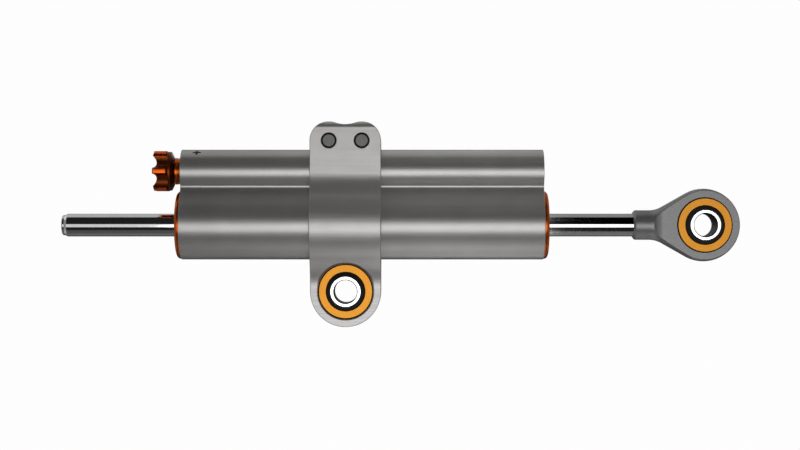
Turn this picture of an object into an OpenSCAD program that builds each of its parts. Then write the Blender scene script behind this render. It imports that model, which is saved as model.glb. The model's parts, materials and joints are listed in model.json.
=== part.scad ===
// Motorcycle steering damper: a through-rod hydraulic damper in a sliding frame clamp.
// All sizes are millimetres. The origin is the middle of the ball bore in the clamp's eye.
// +X runs along the rod to the rod-end eye, +Y goes to the back and +Z goes up.

/* [Barrel] */
// Length of the barrel
barrel_len = 125.5; // [115:0.5:160]
// Distance from the barrel's left end to the middle of the clamp
clamp_place = 57; // [45:0.5:65]
// Outside diameter of the lower tube
tube_d = 24; // [23:0.1:27]
// Diameter of the damper's cylinder bore
bore_d = 19; // [17:0.1:20]
// Outside diameter of the upper tube
gallery_d = 15; // [14:0.1:17]
// Diameter of the bore in the upper tube
gallery_bore_d = 10; // [9.6:0.1:11]
// Height of the upper tube's axis above the lower tube's axis
gallery_rise = 18.7; // [18:0.1:20]
// Slope of the shoulders between the tubes, as the rise of their normals in degrees
shoulder_angle = 36.9; // [34:0.1:40]
// Radius of the groove where a shoulder meets the upper tube
valley_r = 1.6; // [0.8:0.1:2]
// Thickness of the closed right end of the upper tube
gallery_end = 5; // [3:0.5:8]
// Diameter of the oil ports between the two bores
port_d = 2; // [1:0.1:3]

/* [End caps] */
// Thickness of a cap's rim outside the barrel
cap_rim = 1.5; // [1.3:0.1:4]
// Step from the barrel's edge in to a cap's edge
cap_inset = 0.25; // [0.1:0.05:1]
// Rounding of a cap's outer edge
cap_edge_r = 1.2; // [0.4:0.1:1.3]
// Depth of a cap inside the barrel
cap_depth = 22.7; // [21:0.1:26]
// Outside diameter of the wiper round the rod
wiper_d = 12; // [11:0.1:13]
// Length of the wiper
wiper_len = 2.6; // [1.6:0.1:3]
// Outside diameter of the rod seal
seal_d = 13.4; // [12:0.1:14]
// Length of the rod seal
seal_len = 4; // [3:0.1:5]
// Length of the rod bush
bush_len = 11; // [8:0.5:11]
// Wall of the rod bush
bush_wall = 1; // [0.6:0.1:1.6]
// Wall left between the wiper, the seal and the bush
cap_web = 2; // [1:0.1:2.5]
// Width of an O-ring groove
ring_groove = 1.6; // [1.3:0.1:2]
// Depth of an O-ring groove
ring_depth = 1; // [0.7:0.05:1.1]
// Diameter of the spanner holes in a cap
spanner_hole_d = 2; // [1:0.1:2.5]

/* [Rod and piston] */
// Diameter of the piston rod
rod_d = 8; // [7:0.1:8.6]
// Rod that stands out of the left cap
rod_stub = 40; // [20:0.5:60]
// Rod between the right cap and the rod-end eye
rod_gap = 29.65; // [15:0.05:50]
// Step from the rod in to its pilot end
pilot_step = 0.45; // [0.1:0.05:1]
// Length of the rod's pilot end
pilot_len = 0.9; // [0.5:0.1:3]
// Length of the cone from the pilot end to the rod
pilot_cone = 0.9; // [0.4:0.1:2]
// Chamfer on the pilot end
pilot_chamfer = 0.3; // [0.1:0.05:0.5]
// Depth of the plain rod in the rod-end eye's shank
socket_depth = 4; // [2:0.5:5]
// Diameter of the rod's screwed end
rod_screw_d = 6; // [5:0.5:6.5]
// Length of the rod's screwed end
rod_screw_len = 8; // [5:0.5:9]
// Length of the piston
piston_len = 10; // [7:0.5:14]
// Width of the piston ring
ring_w = 4; // [2.5:0.1:5]
// Thickness of the piston ring
ring_t = 1.2; // [0.8:0.1:2]
// Gap between the piston and the bore
piston_gap = 0.05; // [0.03:0.01:0.2]
// Thickness of the clips that hold the piston
clip_t = 0.8; // [0.5:0.1:1.2]
// Depth of the clips' grooves in the rod and in the knob's stem
clip_groove = 0.4; // [0.2:0.05:0.6]
// Height of the clips above the rod
clip_h = 1.4; // [0.8:0.1:2]

/* [Rod-end eye] */
// Distance from the shank's end to the middle of the eye
eye_reach = 24.55; // [23.5:0.05:32]
// Diameter of the shank
shank_d = 10.3; // [9.8:0.1:11.5]
// Diameter of the eye
eye_d = 25.3; // [24:0.1:30]
// Thickness of the eye between its two flats
eye_t = 8; // [7:0.1:8.8]
// Slope of the neck's sides to the rod's axis, in degrees
neck_angle = 29.5; // [26:0.1:34]
// Radius where the neck runs into the shank
neck_r = 9; // [3:0.5:11]
// Radius of the scoops at the start of the flats
scoop_r = 4.6; // [2:0.1:6]
// Distance from the middle of the eye to the start of the flats
flat_reach = 14.5; // [13:0.1:15.5]
// Chamfer on the shank's end
shank_chamfer = 0.7; // [0.2:0.1:1]

/* [Spherical bearings] */
// Diameter of the ball's bore
ball_bore_d = 8; // [6:0.1:9]
// Diameter of the ball
ball_d = 15.875; // [15.2:0.005:16.4]
// Width of the ball
ball_w = 12; // [11:0.1:12.4]
// Chamfer on the ball's bore
ball_chamfer = 0.25; // [0.1:0.05:0.6]
// Thickness of the liner between ball and race
liner_t = 0.2; // [0.1:0.05:0.4]
// Width of the liner
liner_w = 5; // [3:0.1:5.4]
// Outside diameter of the race
race_d = 19; // [18.6:0.1:20]
// Width of the race
race_w = 9; // [8.4:0.1:9.6]
// Chamfer on the race's outer edges
race_chamfer = 0.3; // [0.1:0.05:0.5]

/* [Frame clamp] */
// Width of the clamp along the barrel
clamp_w = 24.5; // [23:0.1:28]
// Wall of the clamp round the lower tube
clamp_wall = 3.3; // [2.5:0.1:4.5]
// Wall of the clamp beside the upper tube
ear_wall = 1.4; // [1.2:0.1:3]
// Thickness of the clamp's eye
lobe_t = 10; // [9.6:0.1:13]
// Radius of the blends between the clamp's ears and its round middle
ear_blend_r = 12; // [5:0.5:14]
// Radius of the blends between the clamp's round middle and the lobe with the eye
lobe_blend_r = 14; // [5:0.5:16]
// Metal between the eye's race and the barrel
eye_web = 1.5; // [1:0.1:4]
// Radius of the two bumps on top of the ears
bump_r = 6.6; // [6.2:0.1:7]
// Radius of the dip between the bumps
saddle_r = 9.9; // [6:0.1:14]
// Rounding of the top edges of the ears
ear_round = 2.2; // [0.8:0.1:3]
// Width of the slot between the ears
slot_w = 2; // [1:0.1:3]
// Chamfer on the mouth of the clamp's eye
lobe_chamfer = 0.3; // [0.1:0.05:0.4]

/* [Clamp screws] */
// Thread diameter of the clamp screws
screw_d = 5; // [4:0.1:5]
// Head diameter of the clamp screws
screw_head_d = 8.5; // [7:0.1:8.8]
// Head height of the clamp screws
screw_head_h = 3.5; // [2.5:0.1:3.7]
// Width across the flats of the hexagon socket
screw_socket_af = 3; // [2.5:0.1:4]
// Metal between the screws and the upper tube
screw_web = 0.35; // [0.35:0.05:1.5]
// Depth of the screw tips under the front face
tip_depth = 0.4; // [0.1:0.1:2]
// Chamfer on the screw tips
tip_chamfer = 0.45; // [0.2:0.05:0.8]

/* [Adjuster] */
// Diameter over the knob's lobes
knob_d = 15.1; // [14.6:0.1:15.6]
// Number of lobes on the knob
knob_lobes = 6; // [4:1:7]
// Radius of the hollows between the lobes
hollow_r = 3.3; // [2.4:0.1:3.6]
// Depth of the hollows
hollow_depth = 2.4; // [1:0.1:2.5]
// Length of the knob's head
knob_len = 7.15; // [6:0.05:10]
// Chamfer on the front ends of the lobes
lobe_front = 0.45; // [0.2:0.05:0.8]
// Chamfer on the back ends of the lobes
lobe_back = 0.4; // [0.1:0.05:0.6]
// Diameter of the round flange behind the lobes
flange_d = 13.5; // [12:0.1:14]
// Thickness of the flange before its cone starts
flange_t = 0.75; // [0.4:0.05:1.5]
// Length of the cone at the back of the flange
knob_cone = 1.05; // [0.5:0.05:2]
// Diameter at the back of the knob
knob_back_d = 9.4; // [9.2:0.1:11]
// Diameter of the dish in the knob's face
dish_d = 13.2; // [12:0.1:13.8]
// Radius of the dish
dish_r = 8.8; // [8:0.1:14]
// Diameter of the bush's neck
neck_d = 9.25; // [9.1:0.05:9.5]
// Length of the bush's neck outside the barrel
neck_len = 2.2; // [1.6:0.1:4]
// Depth of the bush in the upper tube
bush_depth = 10; // [9:0.5:11]
// Diameter of the knob's stem
stem_d = 4.8; // [4.4:0.1:4.9]
// Diameter of the needle's screwed tail
tail_d = 3; // [2:0.1:3.2]
// Length of the needle's screwed tail
tail_len = 10.5; // [6:0.5:10.5]
// Width across the flats of the needle's guide
guide_af = 6; // [5:0.1:6.6]
// Diameter of the needle's tip
tip_d = 2.8; // [2.4:0.1:3]
// Length of the needle's cone
cone_len = 3; // [2:0.1:4]
// Diameter of the orifice that the needle closes
orifice_d = 2; // [1.8:0.1:2.2]
// Distance that the needle travels
needle_travel = 1.5; // [0.5:0.1:1.5]
// Thickness of the clip on the knob's stem
knob_clip_t = 0.6; // [0.4:0.1:0.8]
// Height of the clip above the stem
knob_clip_h = 1; // [0.6:0.1:1.4]
// Length of the needle's seat
seat_len = 22; // [18:0.5:30]
// Diameter of the ball that clicks against the knob
click_ball_d = 1.3; // [0.9:0.05:1.3]

/* [Reservoir] */
// Length of the floating piston
float_len = 6; // [4:0.5:7]
// Depth of the spring's recess in the floating piston
float_recess = 1; // [0.5:0.1:2]
// Free way of the floating piston towards the oil
float_gap = 2.5; // [2.2:0.1:4]
// Wire diameter of the reservoir's spring
spring_wire = 1; // [0.6:0.1:1.2]
// Turns of the reservoir's spring
spring_turns = 5; // [3:0.5:6]

/* [Clearances] */
// Gap at parts that are pressed or screwed together
press_gap = 0.01; // [0.01:0.01:0.03]
// Gap at parts that slide or turn on each other
run_gap = 0.02; // [0.02:0.01:0.04]
// Gap between the clamp and the barrel
clamp_gap = 0.03; // [0.02:0.01:0.06]
// Gap round the clamp screws in their holes
screw_gap = 0.12; // [0.05:0.01:0.2]
// Gap between faces that pass each other
face_gap = 0.3; // [0.2:0.05:0.4]

/* [Hidden] */

$fn = 96;
cut = 1;
// Flats and blends are drawn this much too deep, so that they cross their neighbours instead of only touching them
ease = 0.002;

anodised_grey = [0.45, 0.45, 0.44];
machined_grey = [0.66, 0.66, 0.65];
blasted_grey = [0.42, 0.42, 0.43];
orange = [0.80, 0.33, 0.06];
gold = [0.90, 0.60, 0.20];
steel = [0.78, 0.78, 0.80];
black_rubber = [0.08, 0.08, 0.08];
bronze = [0.60, 0.45, 0.25];
ptfe = [0.20, 0.25, 0.22];

// Places along X
barrel_left = -clamp_place;
barrel_right = barrel_left + barrel_len;
cap_left_face = barrel_left - cap_rim;
cap_right_face = barrel_right + cap_rim;
chamber_left = barrel_left + cap_depth;
chamber_right = barrel_right - cap_depth;
port_inset = port_d / 2 + face_gap;
port_left = chamber_left + port_inset;
port_right = chamber_right - port_inset;
rod_left = cap_left_face - rod_stub;
shank_left = cap_right_face + rod_gap;
eye_x = shank_left + eye_reach;
rod_shoulder = shank_left + socket_depth;

// At its two limits this much rod is left outside a cap, and the piston has the same room at both ends
stub_left = 1;
gap_left = 0.65;
rod_shift = (rod_stub - stub_left - rod_gap + gap_left) / 2;
piston_x = (chamber_left + chamber_right) / 2 - rod_shift;

// Heights
damper_z = tube_d / 2 + eye_web + race_d / 2;
gallery_z = damper_z + gallery_rise;
screw_z = gallery_z + gallery_d / 2 + screw_d / 2 + screw_web;
ear_top = screw_z + bump_r;

// Clamp sizes
wrap_r = tube_d / 2 + clamp_wall;
ear_half = gallery_d / 2 + ear_wall;
lobe_half = lobe_t / 2;
bump_x = clamp_w / 2 - bump_r;
saddle_z = screw_z + sqrt((bump_r + saddle_r) ^ 2 - bump_x ^ 2);

// The screw heads are seated as deep as the upper tube lets them
head_hole_r = screw_head_d / 2 + screw_gap;
head_seat_y = sqrt((gallery_d / 2 + screw_web) ^ 2 - (screw_z - gallery_z - head_hole_r) ^ 2);

// Bearing sizes
ball_r = ball_d / 2;
liner_in_r = ball_r + run_gap;
liner_out_r = liner_in_r + liner_t;
race_seat_r = liner_out_r + run_gap;

// Adjuster places
knob_back = barrel_left - neck_len - face_gap;
knob_face = knob_back - knob_len;
stem_end = barrel_left + bush_depth + 1.7;
guide_start = stem_end + needle_travel + face_gap;
guide_end = port_left - 2.5;
orifice_x = port_left + 3;
seat_start = port_left - 7;
tail_start = guide_start - tail_len;
tail_bore_end = tail_start - needle_travel - 0.5;
click_r = (stem_d + neck_d) / 4 + run_gap / 2;
click_hole_r = click_ball_d / 2 + 0.05;
click_hole_depth = 4.6;
click_ball_x = barrel_left - neck_len - 0.1;
clip_x = barrel_left + bush_depth + face_gap;

// O-ring grooves, from the start of the piece that holds them
stem_groove_x = 4.2;
bush_groove_x = 7;
seat_groove_x = seat_len - 4;

// Reservoir places
gallery_floor = barrel_right - gallery_end;
float_x = port_right + port_d / 2 + float_gap;

// O-ring sections fill their grooves up to the running gap
ring_section_r = (ring_depth - run_gap - 0.04) / 2;

module along_x(x = 0, z = 0) translate([x, 0, z]) rotate([0, 90, 0]) children();
module along_y(x = 0, z = 0) translate([x, 0, z]) rotate([-90, 0, 0]) children();
module profile_along_x(x, len) translate([x, 0, 0]) rotate([90, 0, 90]) linear_extrude(len) children();

module tube(len, outer_r, inner_r) {
    difference() {
        cylinder(h = len, r = outer_r);
        translate([0, 0, -cut]) cylinder(h = len + 2 * cut, r = inner_r);
    }
}

module o_ring(centre_r, section_r) {
    rotate_extrude() translate([centre_r, 0]) circle(r = section_r, $fn = 32);
}

module hexagon(af, len) cylinder(h = len, r = af / sqrt(3), $fn = 6);

// A spring is one tube swept along a helix
function spring_axis(t, turns, coil_r, len) =
    [coil_r * cos(360 * turns * t), coil_r * sin(360 * turns * t), len * t];
function spring_along(t, turns, coil_r, len) = let (
    d = [-sin(360 * turns * t), cos(360 * turns * t), len / (2 * PI * coil_r * turns)]
) d / norm(d);
function spring_out(t, turns) = [cos(360 * turns * t), sin(360 * turns * t), 0];

module coil_spring(coil_r, wire_r, len, turns, per_turn = 14, sides = 6) {
    steps = round(turns * per_turn);
    points = [
        for (i = [0:steps], j = [0:sides - 1])
            let (
                t = i / steps,
                out = spring_out(t, turns),
                up = cross(spring_along(t, turns, coil_r, len), out),
                a = 360 * j / sides
            )
            spring_axis(t, turns, coil_r, len) + wire_r * (cos(a) * out + sin(a) * up)
    ];
    last = steps * sides;
    skin = [
        for (i = [0:steps - 1], j = [0:sides - 1])
            let (
                a = i * sides + j,
                b = i * sides + (j + 1) % sides
            )
            each [[a, b + sides, b], [a, a + sides, b + sides]]
    ];
    ends = [
        for (j = [1:sides - 2])
            each [[0, j, j + 1], [last, last + j + 1, last + j]]
    ];
    polyhedron(points = points, faces = concat(skin, ends), convexity = 10);
}

// Section of the barrel: two tubes joined by flat shoulders with a rounded groove
module barrel_section(grow = 0) {
    n = [cos(shoulder_angle), sin(shoulder_angle)];
    t = [-sin(shoulder_angle), cos(shoulder_angle)];
    upper = [0, gallery_rise];
    past = tube_d / 2 + valley_r - upper * n;
    reach = sqrt((gallery_d / 2 + valley_r) ^ 2 - past ^ 2);
    groove = upper + past * n - reach * t;
    groove_r = valley_r - grow;
    on_tube = (tube_d / 2 + grow - ease) * n;
    on_shoulder = groove - (groove_r + ease) * n;
    on_upper = groove + groove_r * (upper - groove) / norm(upper - groove);
    translate([0, damper_z]) {
        circle(r = tube_d / 2 + grow);
        translate(upper) circle(r = gallery_d / 2 + grow);
        for (side = [0, 1]) mirror([side, 0]) difference() {
            polygon([[0, 0], on_tube, on_shoulder, groove, on_upper, upper]);
            translate(groove) circle(r = groove_r + 2 * ease);
        }
    }
}

module barrel() {
    color(anodised_grey)
    difference() {
        profile_along_x(barrel_left, barrel_len) barrel_section();
        along_x(barrel_left - cut, damper_z) cylinder(h = barrel_len + 2 * cut, r = bore_d / 2);
        along_x(barrel_left - cut, gallery_z)
            cylinder(h = gallery_floor - barrel_left + cut, r = gallery_bore_d / 2);
        for (x = [port_left, port_right])
            translate([x, 0, damper_z]) cylinder(h = gallery_rise, r = port_d / 2);
    }
}

// The caps are drawn for the left end, with the outer face at x = 0
module cap_shape() {
    rim_r = tube_d / 2 - cap_inset;
    spigot_r = bore_d / 2 - press_gap;
    land_r = rod_d / 2 + 0.3;
    len = cap_rim + cap_depth;
    seal_start = wiper_len + cap_web;
    groove_x = len - bush_len / 2 - ring_groove;
    along_x(0, damper_z)
    difference() {
        union() {
            translate([0, 0, cap_edge_r]) cylinder(h = cap_rim - cap_edge_r, r = rim_r);
            cylinder(h = cap_edge_r, r = rim_r - cap_edge_r);
            translate([0, 0, cap_edge_r]) rotate_extrude() intersection() {
                translate([rim_r - cap_edge_r, 0]) circle(r = cap_edge_r);
                translate([0, -cap_edge_r]) square([rim_r + cut, cap_edge_r]);
            }
            cylinder(h = len, r = spigot_r);
        }
        translate([0, 0, -cut]) cylinder(h = len + 2 * cut, r = land_r);
        translate([0, 0, -cut]) cylinder(h = wiper_len + cut, r = wiper_d / 2 + press_gap);
        translate([0, 0, seal_start]) cylinder(h = seal_len + 2 * run_gap, r = seal_d / 2 + press_gap);
        translate([0, 0, len - bush_len]) cylinder(h = bush_len + cut, r = rod_d / 2 + run_gap + bush_wall + press_gap);
        translate([0, 0, groove_x]) tube(ring_groove, bore_d / 2 + cut, bore_d / 2 - ring_depth);
        for (side = [-1, 1])
            translate([0, side * (rim_r + wiper_d / 2) / 2, -cut])
                cylinder(h = cap_rim - 0.4 + cut, r = spanner_hole_d / 2);
    }
}

module bush_shape() {
    along_x(cap_rim + cap_depth - bush_len, damper_z)
        tube(bush_len, rod_d / 2 + run_gap + bush_wall, rod_d / 2 + run_gap);
}

// U-shaped seal: its open side faces the oil
module seal_shape() {
    along_x(wiper_len + cap_web + run_gap, damper_z)
    difference() {
        tube(seal_len, seal_d / 2, rod_d / 2 + run_gap);
        translate([0, 0, seal_len / 2])
            tube(seal_len, seal_d / 2 - 0.9, rod_d / 2 + run_gap + 0.9);
    }
}

// The wiper stands a little out of the cap and tapers to its lip
module wiper_shape() {
    lip = 0.5;
    in_r = rod_d / 2 + run_gap;
    along_x(0, damper_z)
    rotate_extrude()
        polygon([
            [in_r, -lip], [in_r + 0.5, -lip], [in_r + 1, 0],
            [wiper_d / 2, 0], [wiper_d / 2, wiper_len], [in_r, wiper_len]
        ]);
}

module cap_oring_shape() {
    groove_x = cap_rim + cap_depth - bush_len / 2 - ring_groove / 2;
    along_x(groove_x, damper_z)
        o_ring(bore_d / 2 - run_gap - ring_section_r, ring_section_r);
}

module at_left() translate([cap_left_face, 0, 0]) children();
module at_right() translate([cap_right_face, 0, 0]) mirror([1, 0, 0]) children();

module left_cap() color(orange) at_left() cap_shape();
module right_cap() color(orange) at_right() cap_shape();
module left_bush() color(bronze) at_left() bush_shape();
module right_bush() color(bronze) at_right() bush_shape();
module left_seal() color(black_rubber) at_left() seal_shape();
module right_seal() color(black_rubber) at_right() seal_shape();
module left_wiper() color(black_rubber) at_left() wiper_shape();
module right_wiper() color(black_rubber) at_right() wiper_shape();

module cap_orings() {
    color(black_rubber) {
        at_left() cap_oring_shape();
        at_right() cap_oring_shape();
    }
}

// Middle of a round blend between the wrap and a flat, above or below the lower tube
function blend_centre(half, blend_r, up) =
    [half + blend_r, up * sqrt((wrap_r + blend_r) ^ 2 - (half + blend_r) ^ 2)];

function mirrored(p) = [-p[0], p[1]];

// The clamp seen along the barrel
module clamp_side() {
    ear_blend = blend_centre(ear_half, ear_blend_r, 1);
    lobe_blend = blend_centre(lobe_half, lobe_blend_r, -1);
    low = -damper_z - clamp_w / 2;
    high = ear_top - damper_z;
    translate([0, damper_z])
    difference() {
        union() {
            circle(r = wrap_r);
            translate([-lobe_half, low]) square([lobe_t, -low]);
            translate([-ear_half, 0]) square([2 * ear_half, high - ear_round]);
            translate([-ear_half + ear_round, 0]) square([2 * (ear_half - ear_round), high]);
            for (side = [-1, 1])
                translate([side * (ear_half - ear_round), high - ear_round]) circle(r = ear_round);
            polygon([[0, 0], mirrored(lobe_blend), lobe_blend]);
            polygon([[0, 0], ear_blend, mirrored(ear_blend)]);
        }
        for (side = [0, 1]) mirror([side, 0]) {
            translate(ear_blend) circle(r = ear_blend_r + ease);
            translate(lobe_blend) circle(r = lobe_blend_r + ease);
        }
    }
}

// The clamp seen from the front
module clamp_front() {
    difference() {
        union() {
            circle(r = clamp_w / 2);
            translate([-clamp_w / 2, 0]) square([clamp_w, screw_z]);
            for (side = [-1, 1]) translate([side * bump_x, screw_z]) circle(r = bump_r);
            polygon([[bump_x, screw_z], [0, saddle_z], [-bump_x, screw_z]]);
        }
        translate([0, saddle_z]) circle(r = saddle_r + ease);
    }
}

// The chamfered mouth of the race's seat, with the spot face that runs out through the blend
module race_mouth() {
    seat_r = race_d / 2;
    spot_r = seat_r + 2 * lobe_chamfer;
    rotate_extrude()
        polygon([
            [0, lobe_half - lobe_chamfer], [seat_r, lobe_half - lobe_chamfer],
            [spot_r, lobe_half + lobe_chamfer], [spot_r, wrap_r + cut], [0, wrap_r + cut]
        ]);
}

module clamp_bracket() {
    color(machined_grey)
    difference() {
        intersection() {
            profile_along_x(-clamp_w / 2, clamp_w) clamp_side();
            rotate([90, 0, 0]) linear_extrude(2 * (wrap_r + cut), center = true) clamp_front();
        }
        profile_along_x(-clamp_w / 2 - cut, clamp_w + 2 * cut) barrel_section(clamp_gap);
        translate([-clamp_w / 2 - cut, -slot_w / 2, gallery_z])
            cube([clamp_w + 2 * cut, slot_w, ear_top - gallery_z + cut]);
        along_y() cylinder(h = 2 * (wrap_r + cut), r = race_d / 2, center = true);
        for (side = [0, 1]) along_y() mirror([0, 0, side]) race_mouth();
        for (side = [-1, 1]) {
            along_y(side * bump_x, screw_z)
                cylinder(h = 2 * (ear_half + cut), r = screw_d / 2 + screw_gap, center = true);
            along_y(side * bump_x, screw_z) translate([0, 0, head_seat_y])
                cylinder(h = ear_half - head_seat_y + cut, r = head_hole_r);
        }
    }
}

module clamp_screw() {
    tip_y = -ear_half + tip_depth;
    difference() {
        union() {
            translate([0, 0, head_seat_y]) cylinder(h = screw_head_h, r = screw_head_d / 2);
            translate([0, 0, tip_y + tip_chamfer])
                cylinder(h = head_seat_y - tip_y - tip_chamfer, r = screw_d / 2);
            translate([0, 0, tip_y])
                cylinder(h = tip_chamfer, r1 = screw_d / 2 - tip_chamfer, r2 = screw_d / 2);
        }
        translate([0, 0, head_seat_y + screw_head_h / 2]) hexagon(screw_socket_af, screw_head_h);
    }
}

module clamp_screws() {
    color(steel)
    for (side = [-1, 1]) along_y(side * bump_x, screw_z) clamp_screw();
}

// Spherical bearing: race, liner and ball, with their common axis along Y
module race() {
    along_y() difference() {
        rotate_extrude() polygon([
            [0, -race_w / 2],
            [race_d / 2 - press_gap - race_chamfer, -race_w / 2],
            [race_d / 2 - press_gap, -race_w / 2 + race_chamfer],
            [race_d / 2 - press_gap, race_w / 2 - race_chamfer],
            [race_d / 2 - press_gap - race_chamfer, race_w / 2],
            [0, race_w / 2]
        ]);
        sphere(r = race_seat_r);
    }
}

module liner() {
    along_y() difference() {
        intersection() {
            sphere(r = liner_out_r);
            cylinder(h = liner_w, r = liner_out_r + cut, center = true);
        }
        sphere(r = liner_in_r);
    }
}

module ball() {
    mouth_r = ball_bore_d / 2 + ball_chamfer;
    along_y() difference() {
        intersection() {
            sphere(r = ball_r);
            cylinder(h = ball_w, r = ball_r + cut, center = true);
        }
        cylinder(h = ball_w + 2 * cut, r = ball_bore_d / 2, center = true);
        translate([0, 0, ball_w / 2 - ball_chamfer])
            cylinder(h = 2 * ball_chamfer, r1 = ball_bore_d / 2, r2 = mouth_r + ball_chamfer);
        translate([0, 0, -ball_w / 2 - ball_chamfer])
            cylinder(h = 2 * ball_chamfer, r1 = mouth_r + ball_chamfer, r2 = ball_bore_d / 2);
    }
}

module at_rod_eye() translate([eye_x, 0, damper_z]) children();

module frame_race() color(gold) race();
module frame_liner() color(ptfe) liner();
module frame_ball() color(steel) ball();
module rod_race() color(gold) at_rod_eye() race();
module rod_liner() color(ptfe) at_rod_eye() liner();
module rod_ball() color(steel) at_rod_eye() ball();

// The rod-end eye is a turned blank, shank, cone and ball, with a flat milled on each side
module eye_blank() {
    shank_r = shank_d / 2;
    eye_r = eye_d / 2;
    n = [cos(neck_angle), -sin(neck_angle)];
    on_eye = [0, eye_reach] + (eye_r - ease) * n;
    on_shank = [shank_r, on_eye[1] - (on_eye[0] - shank_r) / tan(neck_angle)];
    centre = [shank_r + neck_r, on_shank[1] - neck_r * tan(neck_angle / 2)];
    rotate_extrude() {
        polygon([
            [0, 0], [shank_r - shank_chamfer, 0], [shank_r, shank_chamfer],
            [shank_r, centre[1]], on_shank, on_eye, [0, on_eye[1]]
        ]);
        difference() {
            polygon([[0, centre[1]], [shank_r, centre[1]], centre, centre - neck_r * n, on_shank]);
            translate(centre) circle(r = neck_r);
        }
        intersection() {
            translate([0, eye_reach]) circle(r = eye_r);
            translate([0, eye_reach - eye_r]) square(2 * eye_r);
        }
    }
}

module rod_eye() {
    flat_x = eye_x - flat_reach;
    color(blasted_grey)
    difference() {
        along_x(shank_left, damper_z) eye_blank();
        for (side = [-1, 1]) {
            translate([flat_x, side > 0 ? eye_t / 2 : -eye_t / 2 - eye_d, damper_z - eye_d])
                cube([2 * eye_d, eye_d, 2 * eye_d]);
            translate([flat_x, side * (eye_t / 2 + scoop_r), damper_z - eye_d])
                cylinder(h = 2 * eye_d, r = scoop_r);
        }
        translate([eye_x, 0, damper_z]) along_y()
            cylinder(h = 2 * eye_t, r = race_d / 2, center = true);
        along_x(shank_left - cut, damper_z) cylinder(h = socket_depth + cut, r = rod_d / 2 + press_gap);
        along_x(rod_shoulder - cut, damper_z)
            cylinder(h = rod_screw_len + face_gap + cut, r = rod_screw_d / 2 + press_gap);
    }
}

module piston_rod() {
    groove_w = clip_t + 2 * press_gap;
    rod_body = rod_left + pilot_len + pilot_cone;
    pilot_r = rod_d / 2 - pilot_step;
    color(steel)
    along_x(0, damper_z)
    difference() {
        union() {
            translate([0, 0, rod_left])
                cylinder(h = pilot_chamfer, r1 = pilot_r - pilot_chamfer, r2 = pilot_r);
            translate([0, 0, rod_left + pilot_chamfer])
                cylinder(h = pilot_len - pilot_chamfer, r = pilot_r);
            translate([0, 0, rod_left + pilot_len])
                cylinder(h = pilot_cone, r1 = pilot_r, r2 = rod_d / 2);
            translate([0, 0, rod_body]) cylinder(h = rod_shoulder - rod_body, r = rod_d / 2);
            translate([0, 0, rod_shoulder]) cylinder(h = rod_screw_len, r = rod_screw_d / 2);
        }
        for (x = [piston_x - piston_len / 2 - groove_w, piston_x + piston_len / 2])
            translate([0, 0, x]) tube(groove_w, rod_d / 2 + cut, rod_d / 2 - clip_groove);
    }
}

module piston() {
    groove_w = ring_w + 2 * run_gap;
    color(anodised_grey)
    along_x(piston_x, damper_z)
    difference() {
        cylinder(h = piston_len, r = bore_d / 2 - piston_gap, center = true);
        cylinder(h = piston_len + 2 * cut, r = rod_d / 2 + press_gap, center = true);
        translate([0, 0, -groove_w / 2]) tube(groove_w, bore_d / 2 + cut, bore_d / 2 - ring_t - 2 * run_gap);
    }
}

module piston_ring() {
    color(ptfe)
    along_x(piston_x - ring_w / 2, damper_z)
        tube(ring_w, bore_d / 2 - run_gap, bore_d / 2 - ring_t - run_gap);
}

// Open clip that snaps into a groove
module open_clip(out_r, in_r, thick) {
    difference() {
        tube(thick, out_r, in_r);
        translate([0, -in_r / 2, -cut]) cube([out_r + cut, in_r, thick + 2 * cut]);
    }
}

module piston_clips() {
    color(steel)
    for (x = [piston_x - piston_len / 2 - clip_t - press_gap, piston_x + piston_len / 2 + press_gap])
        along_x(x, damper_z)
            open_clip(rod_d / 2 + clip_h, rod_d / 2 - clip_groove + press_gap, clip_t);
}

// The knob's outline: hollows cut between its lobes, with one lobe facing the front
module knob_outline() {
    difference() {
        circle(r = knob_d / 2);
        for (i = [0:knob_lobes - 1])
            rotate(180 + 360 * (i + 0.5) / knob_lobes)
                translate([knob_d / 2 - hollow_depth + hollow_r, 0]) circle(r = hollow_r);
    }
}

// The knob's turned shape: lobes with chamfered ends, then a round flange with a cone
module knob_lobes_turned(len) {
    knob_r = knob_d / 2;
    rotate_extrude()
        polygon([
            [0, 0], [dish_d / 2 - ease, 0], [knob_r, lobe_front],
            [knob_r, len - lobe_back], [flange_d / 2, len], [0, len]
        ]);
}

module knob() {
    stem_r = stem_d / 2;
    head_len = knob_len - knob_cone - flange_t;
    color(orange)
    translate([0, 0, gallery_z])
    difference() {
        union() {
            intersection() {
                profile_along_x(knob_face, head_len) knob_outline();
                along_x(knob_face) knob_lobes_turned(head_len);
            }
            along_x(knob_face + head_len) cylinder(h = flange_t, r = flange_d / 2);
            along_x(knob_back - knob_cone)
                cylinder(h = knob_cone, r1 = flange_d / 2, r2 = knob_back_d / 2);
            along_x(knob_back) cylinder(h = stem_end - knob_back, r = stem_r);
        }
        translate([knob_face - sqrt(dish_r ^ 2 - (dish_d / 2) ^ 2), 0, 0]) sphere(r = dish_r);
        along_x(click_ball_x) o_ring(click_r, click_hole_r);
        along_x(tail_bore_end)
            cylinder(h = stem_end - tail_bore_end + cut, r = tail_d / 2 + run_gap);
        along_x(clip_x - press_gap)
            tube(knob_clip_t + 2 * press_gap, stem_r + cut, stem_r - clip_groove);
    }
}

module knob_clip() {
    color(steel)
    along_x(clip_x, gallery_z)
        open_clip(stem_d / 2 + knob_clip_h, stem_d / 2 - clip_groove + press_gap, knob_clip_t);
}

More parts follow.
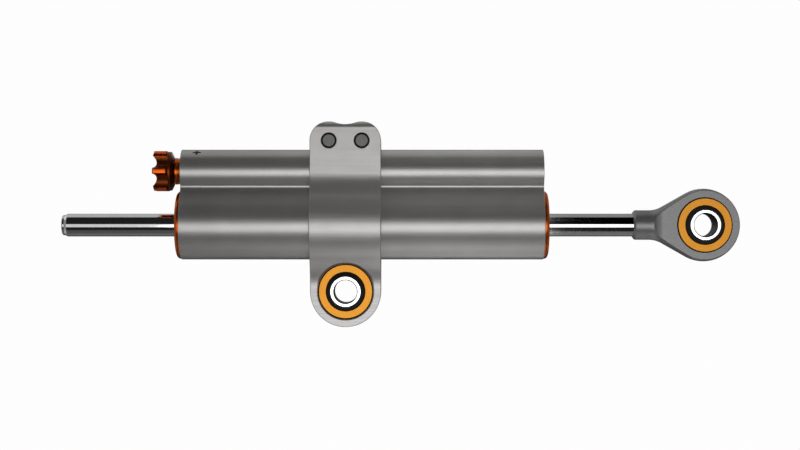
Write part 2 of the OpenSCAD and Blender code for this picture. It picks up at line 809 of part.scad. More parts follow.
module adjuster_bush() {
    out_r = gallery_bore_d / 2 - press_gap;
    color(orange)
    along_x(barrel_left, gallery_z)
    difference() {
        union() {
            translate([0, 0, -neck_len]) cylinder(h = neck_len, r = neck_d / 2);
            cylinder(h = bush_depth, r = out_r);
        }
        translate([0, 0, -neck_len - cut])
            cylinder(h = neck_len + bush_depth + 2 * cut, r = stem_d / 2 + run_gap);
        translate([0, 0, -neck_len * 0.6]) tube(0.4, neck_d / 2 + cut, neck_d / 2 - 0.25);
        translate([0, 0, stem_groove_x])
            tube(ring_groove, stem_d / 2 + ring_depth + run_gap, stem_d / 2);
        translate([0, 0, bush_groove_x]) tube(ring_groove, out_r + cut, out_r - ring_depth);
        translate([0, click_r, -neck_len - cut]) cylinder(h = click_hole_depth + cut, r = click_hole_r);
    }
}

module bush_oring() {
    color(black_rubber)
    along_x(barrel_left + bush_groove_x + ring_groove / 2, gallery_z)
        o_ring(gallery_bore_d / 2 - run_gap - ring_section_r, ring_section_r);
}

module stem_oring() {
    color(black_rubber)
    along_x(barrel_left + stem_groove_x + ring_groove / 2, gallery_z)
        o_ring(stem_d / 2 + run_gap + ring_section_r, ring_section_r);
}

module click_ball() {
    color(steel)
    translate([click_ball_x, click_r, gallery_z]) sphere(d = click_ball_d);
}

module click_spring() {
    wire_r = 0.12;
    start = click_ball_x + click_ball_d / 2 + wire_r + run_gap;
    end = barrel_left - neck_len + click_hole_depth - wire_r - run_gap;
    color(steel)
    translate([start, click_r, gallery_z]) rotate([0, 90, 0])
        coil_spring(click_hole_r - 0.25, wire_r, end - start, 5, 10);
}

module needle() {
    color(steel)
    along_x(0, gallery_z) {
        translate([0, 0, tail_start]) cylinder(h = tail_len + cut, r = tail_d / 2);
        translate([0, 0, guide_start]) hexagon(guide_af, guide_end - guide_start);
        translate([0, 0, guide_end - cut])
            cylinder(h = orifice_x - cone_len / 2 - guide_end + cut, r = tip_d / 2);
        translate([0, 0, orifice_x - cone_len / 2])
            cylinder(h = cone_len, r1 = tip_d / 2, r2 = orifice_d - tip_d / 2 - 0.2);
    }
}

module needle_seat() {
    out_r = gallery_bore_d / 2 - press_gap;
    color(bronze)
    along_x(seat_start, gallery_z)
    difference() {
        cylinder(h = seat_len, r = out_r);
        translate([0, 0, -cut]) hexagon(guide_af + 0.1, orifice_x - seat_start + cut);
        cylinder(h = seat_len + cut, r = orifice_d / 2);
        translate([0, 0, port_left - seat_start]) rotate([0, 90, 0]) cylinder(h = out_r + cut, r = port_d / 2);
        translate([0, 0, seat_groove_x]) tube(ring_groove, out_r + cut, out_r - ring_depth);
    }
}

module seat_oring() {
    color(black_rubber)
    along_x(seat_start + seat_groove_x + ring_groove / 2, gallery_z)
        o_ring(gallery_bore_d / 2 - run_gap - ring_section_r, ring_section_r);
}

module floating_piston() {
    out_r = gallery_bore_d / 2 - piston_gap;
    color(anodised_grey)
    along_x(float_x, gallery_z)
    difference() {
        cylinder(h = float_len, r = out_r);
        translate([0, 0, (float_len - ring_groove) / 2])
            tube(ring_groove, out_r + cut, gallery_bore_d / 2 - ring_depth);
        translate([0, 0, float_len - float_recess])
            cylinder(h = float_recess + cut, r = gallery_bore_d / 5);
    }
}

module floating_oring() {
    color(black_rubber)
    along_x(float_x + float_len / 2, gallery_z)
        o_ring(gallery_bore_d / 2 - run_gap - ring_section_r, ring_section_r);
}

module reservoir_spring() {
    wire_r = spring_wire / 2;
    start = float_x + float_len + wire_r + run_gap;
    end = gallery_floor - wire_r - run_gap;
    color(steel)
    along_x(start, gallery_z)
        coil_spring(gallery_bore_d / 2 - 0.8 - wire_r, wire_r, end - start, spring_turns);
}

clamp_bracket();
clamp_screws();
frame_race();
frame_liner();
frame_ball();
barrel();
left_cap();
right_cap();
left_bush();
right_bush();
left_seal();
right_seal();
left_wiper();
right_wiper();
cap_orings();
adjuster_bush();
bush_oring();
stem_oring();
click_ball();
click_spring();
knob();
knob_clip();
needle();
needle_seat();
seat_oring();
floating_piston();
floating_oring();
reservoir_spring();
piston_rod();
piston();
piston_ring();
piston_clips();
rod_eye();
rod_race();
rod_liner();
rod_ball();
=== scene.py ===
"""Finishes, broken edges and studio for a motorcycle steering damper, round its fixed frame.

Lengths are metres. +X runs along the rod to the rod-end eye, +Y goes to the back and +Z goes up.
"""

import json
import math

import bpy
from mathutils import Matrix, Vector

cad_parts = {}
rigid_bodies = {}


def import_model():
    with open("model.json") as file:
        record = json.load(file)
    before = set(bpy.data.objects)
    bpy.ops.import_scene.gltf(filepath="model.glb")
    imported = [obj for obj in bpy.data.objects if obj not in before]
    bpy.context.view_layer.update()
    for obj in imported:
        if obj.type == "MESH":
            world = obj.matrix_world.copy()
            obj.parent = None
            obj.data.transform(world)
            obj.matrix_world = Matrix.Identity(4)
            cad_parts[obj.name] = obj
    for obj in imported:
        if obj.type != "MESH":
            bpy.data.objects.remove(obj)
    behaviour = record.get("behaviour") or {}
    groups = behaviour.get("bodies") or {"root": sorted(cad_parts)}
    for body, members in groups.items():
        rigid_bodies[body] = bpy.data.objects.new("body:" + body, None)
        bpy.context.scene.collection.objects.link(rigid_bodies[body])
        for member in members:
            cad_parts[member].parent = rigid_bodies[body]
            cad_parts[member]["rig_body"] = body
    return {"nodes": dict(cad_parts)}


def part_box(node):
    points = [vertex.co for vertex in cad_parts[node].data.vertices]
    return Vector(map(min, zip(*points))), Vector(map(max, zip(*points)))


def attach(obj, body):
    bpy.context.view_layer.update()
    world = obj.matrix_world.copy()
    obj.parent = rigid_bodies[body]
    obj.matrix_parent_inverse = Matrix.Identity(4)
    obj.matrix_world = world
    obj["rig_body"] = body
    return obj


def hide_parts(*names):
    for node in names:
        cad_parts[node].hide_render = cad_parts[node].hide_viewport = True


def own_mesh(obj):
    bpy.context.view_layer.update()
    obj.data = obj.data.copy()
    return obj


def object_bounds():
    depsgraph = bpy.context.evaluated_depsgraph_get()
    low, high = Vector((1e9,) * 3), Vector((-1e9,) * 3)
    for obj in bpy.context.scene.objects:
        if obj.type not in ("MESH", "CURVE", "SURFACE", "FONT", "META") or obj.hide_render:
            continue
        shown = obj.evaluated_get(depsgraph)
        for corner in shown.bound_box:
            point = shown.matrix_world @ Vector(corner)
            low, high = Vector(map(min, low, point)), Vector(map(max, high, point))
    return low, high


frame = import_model()
frame_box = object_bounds()

MM = 0.001


def middle(node):
    """The middle of a node's box."""
    low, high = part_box(node)
    return (low + high) / 2


ROD_AXIS = middle("piston_rod")
ADJUSTER_AXIS = middle("adjuster_bush")
FRAME_EYE = middle("frame_ball")
ROD_EYE = middle("rod_ball")
UPPER_TUBE_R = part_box("barrel")[1].z - ADJUSTER_AXIS.z
BALL_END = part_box("frame_ball")[1].y
RACE_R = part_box("frame_race")[1].z - FRAME_EYE.z
KNOB_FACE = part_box("knob")[0].x
KNOB_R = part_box("knob")[1].z - ADJUSTER_AXIS.z


# Shader maths


class Value:
    """A number, colour or vector among nodes. Sums, products and powers add their maths nodes."""

    def __init__(self, nodes, socket):
        self.nodes = nodes
        self.socket = socket

    def maths(self, operation, *values):
        """The result of one operation on some values."""
        return self.nodes.node("ShaderNodeMath", {"operation": operation}, values)

    def __add__(self, other):
        return self.maths("ADD", self, other)

    def __radd__(self, other):
        return self.maths("ADD", other, self)

    def __sub__(self, other):
        return self.maths("SUBTRACT", self, other)

    def __rsub__(self, other):
        return self.maths("SUBTRACT", other, self)

    def __mul__(self, other):
        return self.maths("MULTIPLY", self, other)

    def __rmul__(self, other):
        return self.maths("MULTIPLY", other, self)

    def __pow__(self, other):
        return self.maths("POWER", self, other)

    def __rpow__(self, other):
        return self.maths("POWER", other, self)

    def __lt__(self, other):
        return self.maths("LESS_THAN", self, other)

    def __gt__(self, other):
        return self.maths("GREATER_THAN", self, other)

    def __abs__(self):
        return self.maths("ABSOLUTE", self)


def diagonal(a, b):
    """The length of a line whose reaches along two axes are a and b."""
    return (a * a + b * b) ** 0.5


def grey(level, warmth=0.0):
    """A grey colour, a little warmer or cooler than neutral."""
    return (level * (1 + warmth), level, level * (1 - warmth), 1.0)


WHITE = grey(1.0)
NOISE_ROUGHNESS = 0.6
# Most of a noise's values lie in this run
NOISE_RUN = (0.3, 0.7)


class Nodes:
    """The nodes of a finish or of the studio's surround, which end in an output."""

    def __init__(self, tree, output):
        self.tree = tree
        self.tree.nodes.clear()
        self.output = self.tree.nodes.new(output)

    def node(self, kind, settings=(), values=(), output=0):
        """Adds a node, sets its settings, links or sets its sockets, and returns one of its outputs."""
        made = self.tree.nodes.new(kind)
        for name, value in dict(settings).items():
            setattr(made, name, value)
        pairs = values.items() if isinstance(values, dict) else enumerate(values)
        for key, value in pairs:
            if isinstance(value, Value):
                self.tree.links.new(value.socket, made.inputs[key])
            else:
                made.inputs[key].default_value = value
        return Value(self, made.outputs[output])

    def ramp(self, value, run, low, high):
        """A number that goes from low to high as a value goes through its run."""
        return self.node(
            "ShaderNodeMapRange",
            (),
            {
                "Value": value,
                "From Min": run[0],
                "From Max": run[1],
                "To Min": low,
                "To Max": high,
            },
        )

    def seen_by(self, ray):
        """Is 1 for one kind of ray, such as Camera, and 0 for the others."""
        return self.node("ShaderNodeLightPath", output="Is " + ray + " Ray")

    def show(self, shader):
        """Joins a shader to the output."""
        self.tree.links.new(shader.socket, self.output.inputs["Surface"])


class Finish(Nodes):
    """One procedural material. Its patterns read the piece's own Object coordinates."""

    def __init__(self, name):
        self.material = bpy.data.materials.new(name)
        self.material.use_nodes = True
        super().__init__(self.material.node_tree, "ShaderNodeOutputMaterial")
        self.place = self.node("ShaderNodeTexCoord", output="Object")

    def axes(self, centre=(0, 0, 0)):
        """The X, Y and Z distances from a centre, as three values."""
        offset = self.node(
            "ShaderNodeVectorMath", {"operation": "SUBTRACT"}, (self.place, centre)
        )
        return [
            self.node("ShaderNodeSeparateXYZ", (), (offset,), output=axis)
            for axis in "XYZ"
        ]

    def noise(self, size, detail=2.0, stretch=(1, 1, 1)):
        """Noise with grains of about this size, stretched along the axes."""
        scale = [1 / (size * longer) for longer in stretch]
        place = self.node(
            "ShaderNodeVectorMath", {"operation": "MULTIPLY"}, (self.place, scale)
        )
        return self.node(
            "ShaderNodeTexNoise",
            (),
            {
                "Vector": place,
                "Scale": 1.0,
                "Detail": detail,
                "Roughness": NOISE_ROUGHNESS,
            },
        )

    def blend(self, share, low, high):
        """A colour between low and high."""
        return self.node(
            "ShaderNodeMix",
            {"data_type": "RGBA"},
            {0: share, 6: low, 7: high},
            output=2,
        )

    def spread(self, noise, low, high):
        """Stretches a noise so that most of it runs from low to high."""
        return self.ramp(noise, NOISE_RUN, low, high)

    def tone(self, *noises):
        """A share from 0 to 1, from some noises and the weight of each."""
        parts = [self.spread(noise, 0.0, weight) for noise, weight in noises]
        return sum(parts[1:], parts[0])

    def bump(self, height, depth, under=None):
        """A surface normal from a height, in metres of depth."""
        values = {"Strength": 1.0, "Distance": depth, "Height": height}
        if under is not None:
            values["Normal"] = under
        return self.node("ShaderNodeBump", (), values)

    def surface(self, colour, roughness, metallic=1.0, **sockets):
        """Joins a Principled shader to the output and returns the finish's material."""
        values = {
            "Base Color": colour,
            "Roughness": roughness,
            "Metallic": metallic,
        }
        values.update(sockets)
        self.show(self.node("ShaderNodeBsdfPrincipled", (), values))
        return self.material

    def light(self, strength):
        """A white glow."""
        return self.node("ShaderNodeEmission", (), {"Color": WHITE, "Strength": strength})


# Finishes

# How far the knob's lobes run back from its face
KNOB_LOBES = 4.6 * MM
# How far inside the knob's rim the lobe tips' own bright orange starts over the painted shade, and
# where it is full
KNOB_TIPS = (0.8 * MM, 0.35 * MM)
# The width of the painted shade on a race's outer chamfer, where it meets its seat
RACE_GAP_SHADE = 0.32 * MM
# How far back from a ball's ends their bright grinding reaches
BALL_GRINDING = 0.05 * MM
# The engraved plus sign by the knob: its place along the barrel, its rise round the tube and its size
MARK_X = -51.45 * MM
MARK_RISE = math.radians(58)
MARK_LENGTH = 2.8 * MM
MARK_WIDTH = 0.85 * MM
MARK_DEPTH = 0.15 * MM
# The share of the mark's depth below which painted shade colours its walls near black
MARK_SHADE_STARTS = 0.3


def grey_anodising():
    """Fine blasted and anodised barrel, with its drawn grain along X, and painted shade on the walls of
    its engraved mark.
    """
    finish = Finish("grey_anodising")
    grain = finish.noise(0.22 * MM, detail=3.0)
    drawn = finish.noise(0.35 * MM, stretch=(60, 1, 1))
    cloud = finish.noise(9 * MM, detail=3.0)
    tone = finish.tone((cloud, 0.6), (drawn, 0.4))
    colour = finish.blend(tone, grey(0.30, 0.02), grey(0.345, 0.02))
    x, y, z = finish.axes((MARK_X, 0, ADJUSTER_AXIS.z))
    shade_start_r = UPPER_TUBE_R - MARK_SHADE_STARTS * MARK_DEPTH
    engraved = (diagonal(y, z) < shade_start_r) * (abs(x) < MARK_LENGTH)
    # painted shade: the deeper part of the engraved mark's walls is coloured near black
    colour = finish.blend(engraved, colour, grey(0.03))
    roughness = finish.spread(grain, 0.30, 0.38) + 0.25 * engraved
    normal = finish.bump(grain, 0.010 * MM, finish.bump(drawn, 0.006 * MM))
    return finish.surface(colour, roughness, metallic=0.88, Normal=normal)


def machined_aluminium():
    """Clamp with fine cutter lines along X over its faces."""
    finish = Finish("machined_aluminium")
    lines = finish.noise(0.3 * MM, detail=3.0, stretch=(70, 1, 1))
    passes = finish.noise(1.1 * MM, detail=1.0, stretch=(60, 1, 1))
    cloud = finish.noise(7 * MM)
    tone = finish.tone((lines, 0.4), (passes, 0.3), (cloud, 0.3))
    colour = finish.blend(tone, grey(0.325, 0.02), grey(0.38, 0.02))
    roughness = finish.spread(lines, 0.33, 0.41)
    normal = finish.bump(lines, 0.008 * MM, finish.bump(passes, 0.008 * MM))
    return finish.surface(colour, roughness, metallic=0.88, Normal=normal)


def blasted_aluminium():
    """Bead-blasted rod-end eye, darker and duller than the barrel."""
    finish = Finish("blasted_aluminium")
    grain = finish.noise(0.28 * MM, detail=3.0)
    cloud = finish.noise(5 * MM, detail=3.0)
    tone = finish.tone((grain, 0.6), (cloud, 0.4))
    colour = finish.blend(tone, grey(0.175, 0.005), grey(0.22, 0.005))
    roughness = finish.spread(cloud, 0.37, 0.42)
    normal = finish.bump(grain, 0.03 * MM)
    return finish.surface(colour, roughness, metallic=0.85, Normal=normal)


def orange_anodising():
    """Deep orange anodising over turned aluminium."""
    finish = Finish("orange_anodising")
    turned = finish.noise(0.16 * MM, stretch=(1, 50, 50))
    cloud = finish.noise(3 * MM)
    tone = finish.tone((cloud, 0.6), (turned, 0.4))
    colour = finish.blend(tone, (0.42, 0.078, 0.008, 1), (0.52, 0.10, 0.012, 1))
    roughness = finish.spread(turned, 0.22, 0.30)
    normal = finish.bump(turned, 0.004 * MM)
    return finish.surface(colour, roughness, Normal=normal)


def knob_anodising_painted_shade():
    """Deep orange knob with bright lobe tips; its hollows, collar and cone are duller and coloured with
    painted shade.
    """
    finish = Finish("knob_anodising_painted_shade")
    cloud = finish.noise(3 * MM)
    cuts = finish.noise(0.2 * MM, stretch=(1, 8, 8))
    x, y, z = finish.axes((KNOB_FACE, ADJUSTER_AXIS.y, ADJUSTER_AXIS.z))
    tip_run = [KNOB_R - inside for inside in KNOB_TIPS]
    tip = finish.ramp(diagonal(y, z), tip_run, 0.0, 1.0) * (x < KNOB_LOBES)
    tone = finish.tone((cloud, 1.0))
    # painted shade: the hollows, collar and cone take this deep brown-orange in place of the knob's own
    # orange
    painted_shade_orange = finish.blend(tone, (0.11, 0.024, 0.005, 1), (0.15, 0.034, 0.007, 1))
    tone = finish.tone((cuts, 1.0))
    bright = finish.blend(tone, (0.50, 0.070, 0.008, 1), (0.58, 0.084, 0.010, 1))
    colour = finish.blend(tip, painted_shade_orange, bright)
    roughness = finish.spread(cuts, 0.34, 0.42) - 0.20 * tip
    normal = finish.bump(cuts, 0.004 * MM)
    return finish.surface(colour, roughness, Normal=normal)


def way_from(finish, eye):
    """The distance to an eye's middle line."""
    x, _, z = finish.axes(eye)
    return diagonal(x, z)


def gold_anodising():
    """Gold-orange anodising on the races, with painted shade on their outer chamfers in the gap at
    their seats.
    """
    finish = Finish("gold_anodising")
    turned = finish.noise(0.3 * MM)
    cloud = finish.noise(3 * MM)
    tone = finish.tone((cloud, 0.6), (turned, 0.4))
    colour = finish.blend(tone, (0.54, 0.225, 0.024, 1), (0.60, 0.25, 0.028, 1))
    frame_way = way_from(finish, FRAME_EYE)
    nearer = frame_way.maths("MINIMUM", frame_way, way_from(finish, ROD_EYE))
    # painted shade: a near-black ring on the race's outer chamfer stands in for the shade in the gap at
    # its seat
    colour = finish.blend(nearer > RACE_R - RACE_GAP_SHADE, colour, grey(0.02))
    roughness = finish.spread(turned, 0.36, 0.42)
    normal = finish.bump(turned, 0.004 * MM)
    return finish.surface(colour, roughness, metallic=0.9, Normal=normal)


def polished(name, level, rough):
    """Smooth metal with faint polishing marks."""
    finish = Finish(name)
    marks = finish.noise(0.25 * MM, stretch=(1, 8, 8))
    cloud = finish.noise(4 * MM)
    colour = finish.blend(finish.tone((cloud, 1.0)), grey(0.93 * level), grey(level))
    roughness = finish.spread(marks, 0.8 * rough, 1.2 * rough)
    normal = finish.bump(marks, 0.001 * MM)
    return finish.surface(colour, roughness, Normal=normal)


def ground_ball():
    """Ball with bright ground ends; its bore and round band are coloured near black as painted shade
    deep in the race.
    """
    finish = Finish("ground_ball")
    marks = finish.noise(0.2 * MM)
    _, y, _ = finish.axes()
    end = abs(y) > BALL_END - BALL_GRINDING
    # painted shade: all but the ground ends is near black, for the shade in the bore and in the race's
    # mouth
    colour = finish.blend(end, grey(0.012), grey(0.80))
    roughness = finish.spread(marks, 0.60, 0.68) - 0.50 * end
    return finish.surface(colour, roughness, end, **{"Specular IOR Level": 0.15})


def machined(name, colour, rough):
    """Turned or drawn metal with its tool lines round X."""
    finish = Finish(name)
    lines = finish.noise(0.14 * MM, stretch=(1, 40, 40))
    darker = [0.88 * part for part in colour]
    tint = finish.blend(finish.tone((lines, 1.0)), (*darker, 1), (*colour, 1))
    roughness = finish.spread(lines, 0.85 * rough, 1.15 * rough)
    normal = finish.bump(lines, 0.004 * MM)
    return finish.surface(tint, roughness, Normal=normal)


def moulded(name, level, rough):
    """Rubber or plastic with a fine matt skin."""
    finish = Finish(name)
    skin = finish.noise(0.12 * MM, detail=3.0)
    cloud = finish.noise(2 * MM)
    colour = finish.blend(finish.tone((cloud, 1.0)), grey(0.8 * level), grey(1.2 * level))
    roughness = finish.spread(skin, 0.9 * rough, 1.1 * rough)
    normal = finish.bump(skin, 0.006 * MM)
    return finish.surface(colour, roughness, metallic=0.0, Normal=normal)


FINISHES = {
    "grey_anodising": grey_anodising(),
    "machined_aluminium": machined_aluminium(),
    "blasted_aluminium": blasted_aluminium(),
    "orange_anodising": orange_anodising(),
    "gold_anodising": gold_anodising(),
    "plain_aluminium": machined("plain_aluminium", (0.62, 0.62, 0.63), 0.35),
    "chromed_rod": polished("chromed_rod", 0.60, 0.06),
    "polished_steel": polished("polished_steel", 0.82, 0.10),
    "screw_steel": machined("screw_steel", (0.15, 0.15, 0.15), 0.45),
    "spring_steel": machined("spring_steel", (0.42, 0.41, 0.40), 0.30),
    "bronze": machined("bronze", (0.46, 0.30, 0.16), 0.38),
    "liner": moulded("liner", 0.05, 0.55),
    "seal_rubber": moulded("seal_rubber", 0.02, 0.60),
}
BALL_FINISH = ground_ball()
# Nodes that have a finish of their own over their slot's
OWN_FINISHES = {
    "frame_ball": BALL_FINISH,
    "rod_ball": BALL_FINISH,
    "knob": knob_anodising_painted_shade(),
}


# Pieces with broken edges

# Widths of the broken edges of the pieces that show
EDGES = {
    "barrel": 0.18 * MM,
    "clamp_bracket": 0.25 * MM,
    "clamp_screws": 0.10 * MM,
    "frame_race": 0.08 * MM,
    "rod_race": 0.08 * MM,
    "frame_ball": 0.10 * MM,
    "rod_ball": 0.10 * MM,
    "left_cap": 0.10 * MM,
    "right_cap": 0.10 * MM,
    "adjuster_bush": 0.08 * MM,
    "knob": 0.14 * MM,
    "rod_eye": 0.16 * MM,
    "piston_rod": 0.08 * MM,
}
EDGE_ANGLE = math.radians(24)
EDGE_STEPS = 3
SMOOTH_ANGLE = math.radians(35)
# How much large faces count over small ones in the normals between them
LARGE_WEIGHT = 80
# Points of a mesh that are closer than this are one, and faces that bend less than this are flat
MERGE_REACH = 0.0005 * MM
FLAT_ANGLE = math.radians(0.3)
# How far the cutters of the engraved mark reach outwards
CUTTER_REACH = 1.5 * MM


def deselect_all():
    """Leaves no object selected."""
    bpy.ops.object.select_all(action="DESELECT")


def select_only(piece):
    """Makes a piece the one selected and active object."""
    deselect_all()
    piece.select_set(True)
    bpy.context.view_layer.objects.active = piece


def apply_modifier(piece, kind, **settings):
    """Adds a modifier with its settings and applies it."""
    select_only(piece)
    modifier = piece.modifiers.new(kind.lower(), kind)
    for name, value in settings.items():
        setattr(modifier, name, value)
    bpy.ops.object.modifier_apply(modifier=modifier.name)


def merged_copy(node, name):
    """A copy of a node's mesh with its loose triangles merged and its flat faces made whole."""
    piece = bpy.data.objects.new(name, frame["nodes"][node].data.copy())
    bpy.context.scene.collection.objects.link(piece)
    select_only(piece)
    bpy.ops.mesh.customdata_custom_splitnormals_clear()
    bpy.ops.object.mode_set(mode="EDIT")
    bpy.ops.mesh.select_all(action="SELECT")
    bpy.ops.mesh.remove_doubles(threshold=MERGE_REACH)
    bpy.ops.mesh.dissolve_limited(angle_limit=FLAT_ANGLE)
    bpy.ops.object.mode_set(mode="OBJECT")
    return piece


def break_edges(piece, width):
    """Rounds the sharp edges of a piece."""
    apply_modifier(
        piece,
        "BEVEL",
        width=width,
        segments=EDGE_STEPS,
        limit_method="ANGLE",
        angle_limit=EDGE_ANGLE,
        use_clamp_overlap=False,
    )


def smooth_faces(piece):
    """Shades the faces of a piece smooth up to its sharp edges."""
    select_only(piece)
    bpy.ops.object.shade_smooth_by_angle(angle=SMOOTH_ANGLE)
    apply_modifier(piece, "WEIGHTED_NORMAL", weight=LARGE_WEIGHT, keep_sharp=True)


def engrave_mark(piece):
    """Cuts the plus sign by the knob into the upper tube."""
    outward = Vector((0, -math.cos(MARK_RISE), math.sin(MARK_RISE)))
    centre = Vector((MARK_X, 0, ADJUSTER_AXIS.z)) + outward * UPPER_TUBE_R
    for along, across in ((MARK_LENGTH, MARK_WIDTH), (MARK_WIDTH, MARK_LENGTH)):
        deselect_all()
        bpy.ops.mesh.primitive_cube_add(
            size=1,
            location=centre + outward * (CUTTER_REACH / 2 - MARK_DEPTH),
            rotation=(-MARK_RISE, 0, 0),
            scale=(along, CUTTER_REACH, across),
        )
        cutter = bpy.context.object
        apply_modifier(
            piece, "BOOLEAN", operation="DIFFERENCE", object=cutter, solver="EXACT"
        )
        bpy.data.objects.remove(cutter)


def body_of(node):
    """The name of the body that a node rides on."""
    return frame["nodes"][node]["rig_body"]


def press_spring(piece):
    """Gives the reservoir spring a copy of its mesh of its own."""
    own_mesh(piece)


def finished_piece(node):
    """A copy of a node that is finished to be seen, and takes the node's place on its body."""
    piece = merged_copy(node, node + "_finished")
    if node in EDGES:
        break_edges(piece, EDGES[node])
    if node == "barrel":
        engrave_mark(piece)
    smooth_faces(piece)
    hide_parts(node)
    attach(piece, body_of(node))
    if node == "reservoir_spring":
        press_spring(piece)
    return piece


for node, shape in sorted(frame["nodes"].items()):
    slot = shape.material_slots[0].material.name
    if node in EDGES or node == "reservoir_spring":
        shape = finished_piece(node)
    for place in shape.material_slots:
        place.material = OWN_FINISHES.get(node, FINISHES[slot])


# Studio

CAMERA_X = 18.8 * MM
CAMERA_DISTANCE = 591.6 * MM
CAMERA_LENS = 76.5
CAMERA_SENSOR = 36.0
CAMERA_CLIP = 0.01
STUDIO_MIDDLE = Vector((CAMERA_X, 0, ROD_AXIS.z))

# The surround's strength for the camera, metal and glass, and for matt surfaces
BACKGROUND_WHITE = 0.985
MATT_SURROUND = 0.5

FLOOR_DROP = 90 * MM
FLOOR_RADIUS = 2.5
FLOOR_SIDES = 128
FLOOR_PAPER = grey(0.8)
FLOOR_LIFT = 0.55
# The distances from the damper's middle where the floor starts to fade and is all background
FLOOR_FADE = (0.16, 0.34)

CARD_RADIUS = 1.7
CARD_WIDTH = 5.0
CARD_SIDES = 180
# Bent cards round the damper: first and last angle up from the front in degrees, and how
# brightly each glows where it shows in the barrel's left end, in its right end and in the rod
CARDS = {
    "upper_near": (8, 38, 0.02, 0.33, 0.0),
    "upper_front": (38, 84, 0.02, 0.93, 0.0),
    "upper_middle": (84, 146, 0.66, 1.28, 0.36),
    "upper_back": (146, 180, 0.04, 0.06, 0.03),
    "lower_back": (180, 224, 0.03, 0.06, 0.03),
    "lower_middle": (224, 264, 0.20, 1.9, 0.24),
    "lower_band": (264, 292, 0.12, 3.2, 0.20),
    "lower_front": (292, 308, 0.10, 2.2, 0.02),
    "lower_near": (308, 338, 0.02, 0.9, 0.02),
}
# The runs along X, from the middle, in which the cards' glow rises, and gives way to the rod's
CARD_RISE = (-0.13, 0.20)
CARD_FALL = (0.183, 0.197)
# The glow far out at both ends, which only slanting views see, and the run in which it rises
SIDE_GLOW = 0.40
SIDE_RISE = (1.0, 1.7)
# The cards that close both ends
END_CARD_SIDES = 64
END_CARD_GLOW = 0.35

# Lamps: how far they stand, their rise, their turn from the front to the right, size and power
LAMP_DISTANCE = 1.3
SOFTBOX_RISE = math.radians(-9.5)
SOFTBOX_TURN = math.radians(2.0)
SOFTBOX_SIZE = (0.62, 0.60)
SOFTBOX_POWER = 2.55
BACK_RISE = math.radians(12)
BACK_TURN = math.radians(180)
BACK_SIZE = (1.6, 0.45)
BACK_POWER = 2.8


def add_camera():
    """A long lens that looks at the damper straight from the front, as the photograph does."""
    camera = bpy.data.objects.new("camera", bpy.data.cameras.new("camera"))
    camera.data.lens = CAMERA_LENS
    camera.data.sensor_width = CAMERA_SENSOR
    camera.data.clip_start = CAMERA_CLIP
    camera.location = (CAMERA_X, -CAMERA_DISTANCE, ROD_AXIS.z)
    camera.rotation_euler = (math.pi / 2, 0, 0)
    bpy.context.scene.collection.objects.link(camera)
    bpy.context.scene.camera = camera


def add_world():
    """A white surround for the camera and the metal, and a soft grey one for matt surfaces."""
    world = bpy.data.worlds.new("studio")
    world.use_nodes = True
    surround = Nodes(world.node_tree, "ShaderNodeOutputWorld")
    metal = surround.seen_by("Camera") + surround.seen_by("Glossy")
    shown = surround.node(
        "ShaderNodeMath",
        {"operation": "ADD", "use_clamp": True},
        (metal, surround.seen_by("Transmission")),
    )
    strength = surround.ramp(shown, (0.0, 1.0), MATT_SURROUND, BACKGROUND_WHITE)
    surround.show(
        surround.node("ShaderNodeBackground", (), {"Color": WHITE, "Strength": strength})
    )
    bpy.context.scene.world = world


def add_floor():
    """A pale floor that keeps the damper's shadow and runs out into the white background."""
    deselect_all()
    bpy.ops.mesh.primitive_circle_add(
        vertices=FLOOR_SIDES,
        radius=FLOOR_RADIUS,
        fill_type="NGON",
        location=(CAMERA_X, 0, frame_box[0].z - FLOOR_DROP),
    )
    floor = bpy.context.object
    floor.name = "floor"
    finish = Finish("pale_floor")
    x, y, _ = finish.axes()
    fade = finish.ramp(diagonal(x, y), FLOOR_FADE, 0.0, 1.0)
    paper = finish.node("ShaderNodeBsdfDiffuse", (), {"Color": FLOOR_PAPER})
    lit = finish.node("ShaderNodeAddShader", (), (paper, finish.light(FLOOR_LIFT)))
    white = finish.light(BACKGROUND_WHITE)
    faded = fade * finish.seen_by("Camera")
    finish.show(finish.node("ShaderNodeMixShader", (), (faded, lit, white)))
    floor.data.materials.append(finish.material)
    floor.visible_glossy = False
    floor.visible_shadow = False


def add_lamp(name, rise, turn, size, power):
    """A flat lamp that faces the damper."""
    lamp = bpy.data.objects.new(name, bpy.data.lights.new(name, "AREA"))
    lamp.data.shape = "RECTANGLE"
    lamp.data.size, lamp.data.size_y = size
    lamp.data.energy = power
    away = Vector(
        (
            math.sin(turn) * math.cos(rise),
            -math.cos(turn) * math.cos(rise),
            math.sin(rise),
        )
    )
    lamp.location = STUDIO_MIDDLE + away * LAMP_DISTANCE
    lamp.rotation_mode = "QUATERNION"
    lamp.rotation_quaternion = (-away).to_track_quat("-Z", "Y")
    lamp.visible_camera = False
    bpy.context.scene.collection.objects.link(lamp)


def glow(name, left, right, rod):
    """A glowing material for a card, which goes from left to right and then to the rod's."""
    finish = Finish(name)
    x, _, _ = finish.axes()
    barrel_glow = finish.ramp(x, CARD_RISE, left, right) * finish.ramp(x, CARD_FALL, 1.0, 0.0)
    rod_glow = finish.ramp(x, CARD_FALL, 0.0, rod)
    side_glow = finish.ramp(abs(x), SIDE_RISE, 0.0, SIDE_GLOW)
    finish.show(finish.light(barrel_glow + rod_glow + side_glow))
    finish.material.cycles.emission_sampling = "NONE"
    return finish.material


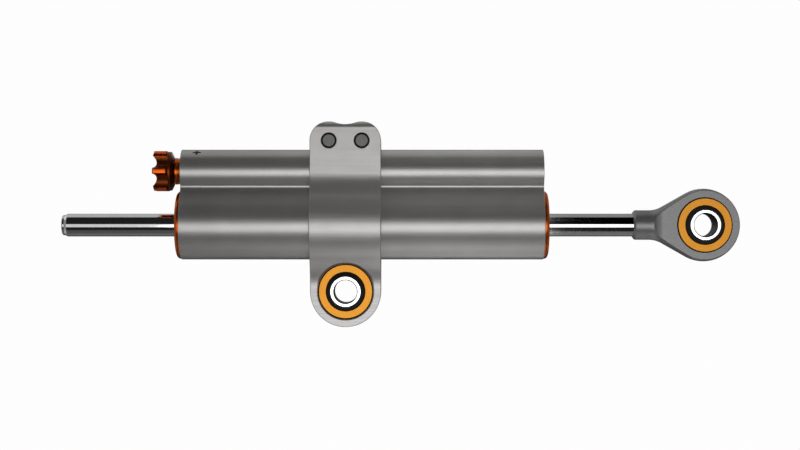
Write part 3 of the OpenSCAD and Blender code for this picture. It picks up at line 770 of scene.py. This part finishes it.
def hang_card(card, name, left, right, rod):
    """Gives a card its name and glow, and shows it only in the damper's metal."""
    card.name = "card_" + name
    card.data.materials.append(glow(card.name, left, right, rod))
    card.visible_camera = False
    card.visible_diffuse = False
    card.visible_shadow = False


def add_card(name, first, last, left, right, rod):
    """A bent card along the damper, from its first angle to its last."""
    deselect_all()
    bpy.ops.mesh.primitive_cylinder_add(
        vertices=CARD_SIDES,
        radius=CARD_RADIUS,
        depth=CARD_WIDTH,
        end_fill_type="NOTHING",
        location=STUDIO_MIDDLE,
        rotation=(0, math.pi / 2, 0),
    )
    card = bpy.context.object
    bpy.ops.object.transform_apply(location=False, rotation=True, scale=False)
    bpy.ops.object.mode_set(mode="EDIT")
    bpy.ops.mesh.select_all(action="DESELECT")
    bpy.ops.object.mode_set(mode="OBJECT")
    for face in card.data.polygons:
        angle = math.degrees(math.atan2(face.center.z, -face.center.y)) % 360
        face.select = not first < angle < last
    bpy.ops.object.mode_set(mode="EDIT")
    bpy.ops.mesh.select_mode(type="FACE")
    bpy.ops.mesh.delete(type="FACE")
    bpy.ops.object.mode_set(mode="OBJECT")
    hang_card(card, name, left, right, rod)


def add_end_card(name, way):
    """A card that closes the bent cards' left end, where way is -1, or their right end."""
    deselect_all()
    bpy.ops.mesh.primitive_circle_add(
        vertices=END_CARD_SIDES,
        radius=CARD_RADIUS,
        fill_type="NGON",
        location=STUDIO_MIDDLE + Vector((way * CARD_WIDTH / 2, 0, 0)),
        rotation=(0, math.pi / 2, 0),
    )
    card = bpy.context.object
    bpy.ops.object.transform_apply(location=False, rotation=True, scale=False)
    hang_card(card, name, END_CARD_GLOW, END_CARD_GLOW, 0.0)


bpy.context.scene.view_settings.view_transform = "Standard"
add_camera()
add_world()
add_floor()
add_lamp("softbox", SOFTBOX_RISE, SOFTBOX_TURN, SOFTBOX_SIZE, SOFTBOX_POWER)
add_lamp("back_softbox", BACK_RISE, BACK_TURN, BACK_SIZE, BACK_POWER)
for name, card in CARDS.items():
    add_card(name, *card)
add_end_card("left_end", -1)
add_end_card("right_end", 1)
